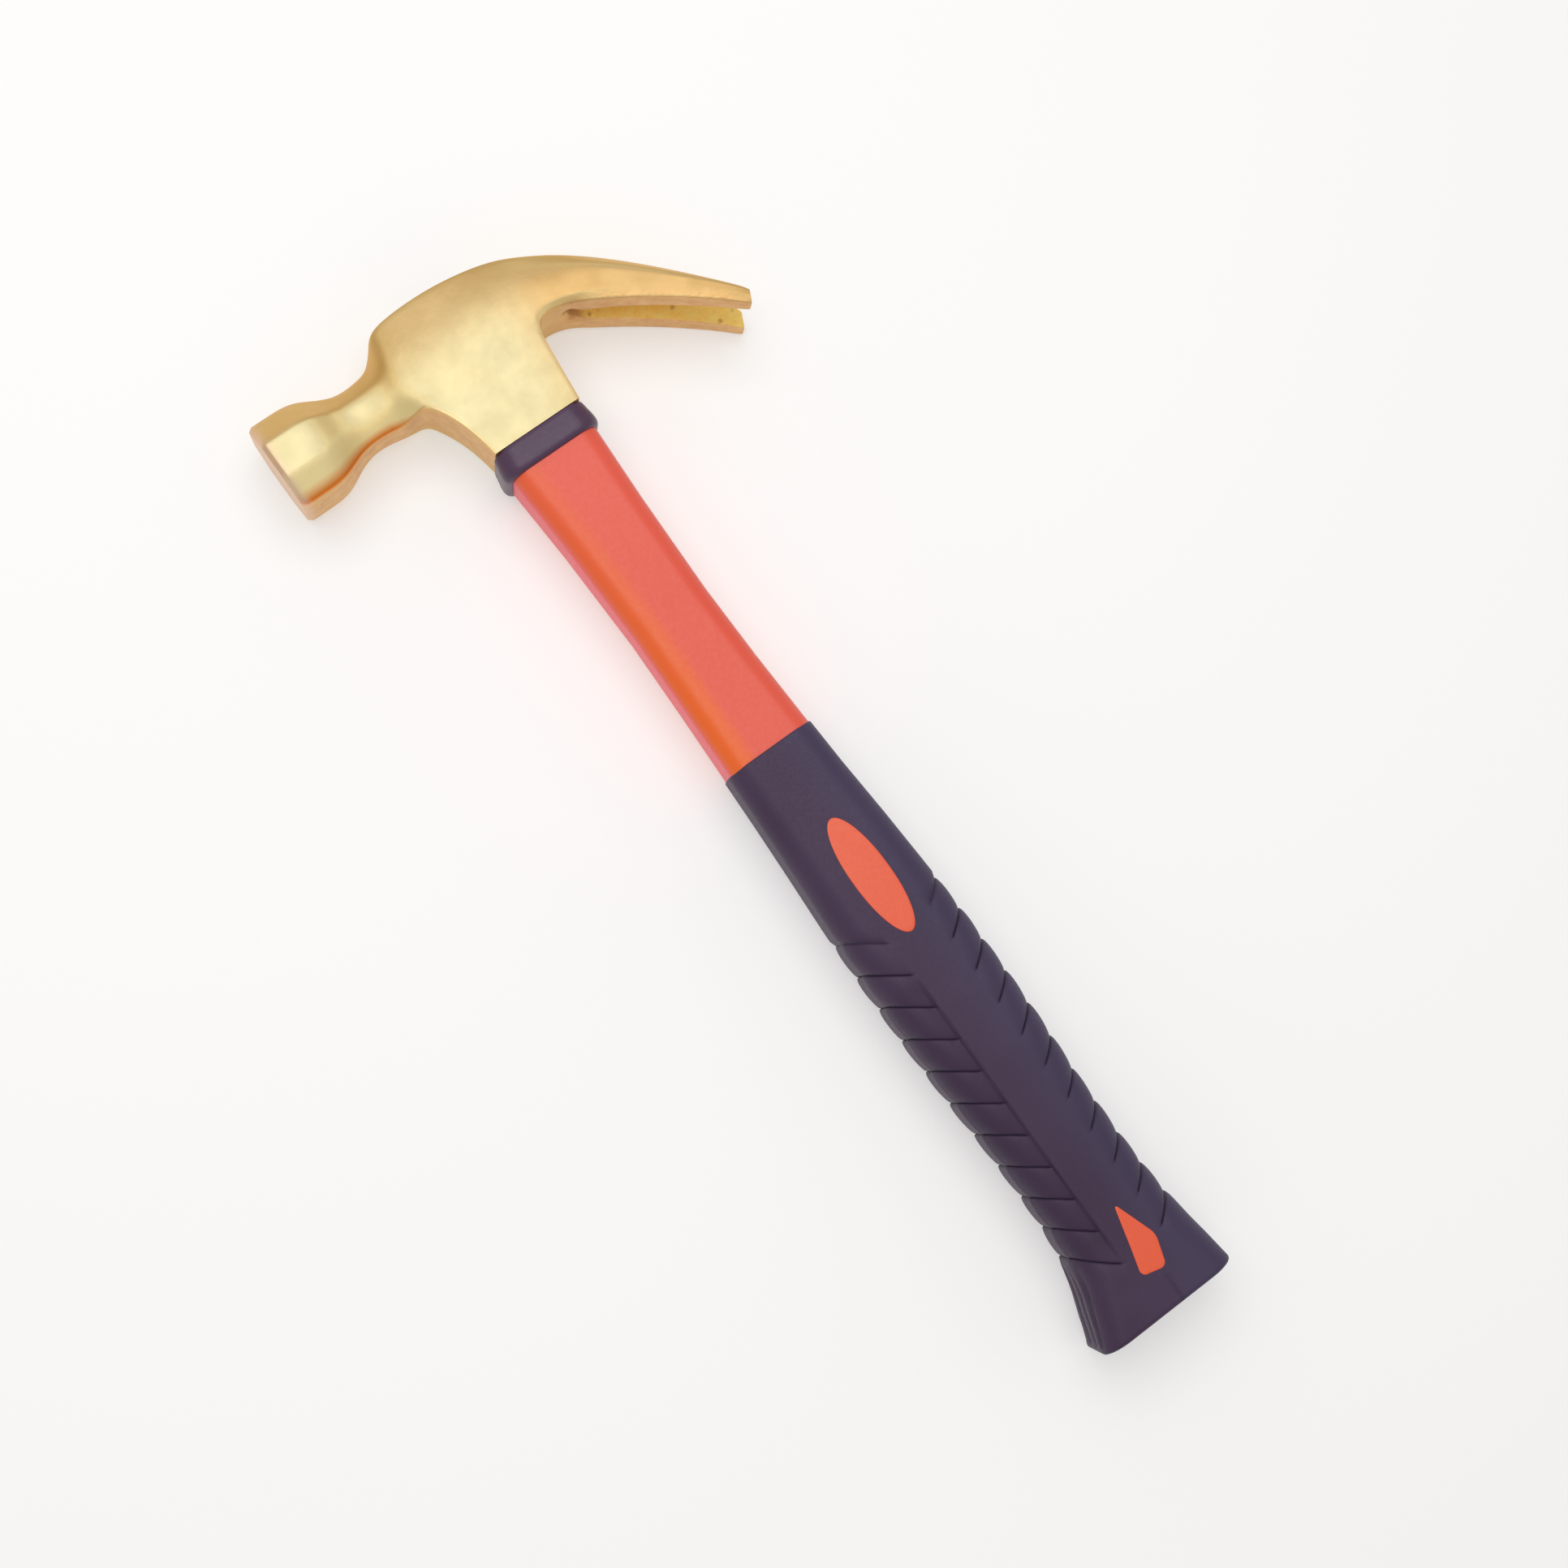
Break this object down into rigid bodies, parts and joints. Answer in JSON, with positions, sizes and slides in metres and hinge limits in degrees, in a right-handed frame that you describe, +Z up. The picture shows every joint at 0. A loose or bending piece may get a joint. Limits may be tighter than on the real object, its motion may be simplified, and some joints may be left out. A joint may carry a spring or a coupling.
{
  "type": "claw hammer",
  "caption": "Claw hammer with an octagonal poll, curved claws, a fibre-cored plastic handle and a ribbed rubber grip with a flared butt.",
  "frame": {"origin": "middle of the underside of the hammer lying on its side", "axes": "+Y along the handle from the butt to the head, +X towards the claw tips, +Z up from the surface it lies on"},
  "size_m": [0.1298, 0.3297, 0.0292],
  "materials": {
    "head_metal": "satin-polished golden alloy, slightly cast underneath",
    "glass_fibre": "pultruded glass fibre, lengthwise strands",
    "resin": "cast epoxy resin",
    "plug_plastic": "moulded plastic",
    "collar_rubber": "smooth moulded rubber, slightly glossy",
    "jacket_plastic": "moulded polypropylene, fine satin",
    "insert_plastic": "moulded polypropylene, satin",
    "grip_rubber": "matt moulded rubber with chevron ribs"
  },
  "bodies": {
    "root": {"head": "head_metal", "core_rod": "glass_fibre", "eye_epoxy": "resin", "eye_plug": "plug_plastic", "collar": "collar_rubber", "handle_jacket": "jacket_plastic", "oval_insert_near": "insert_plastic", "oval_insert_far": "insert_plastic", "kite_insert_near": "insert_plastic", "kite_insert_far": "insert_plastic", "grip": "grip_rubber"}
  },
  "joints": []
}
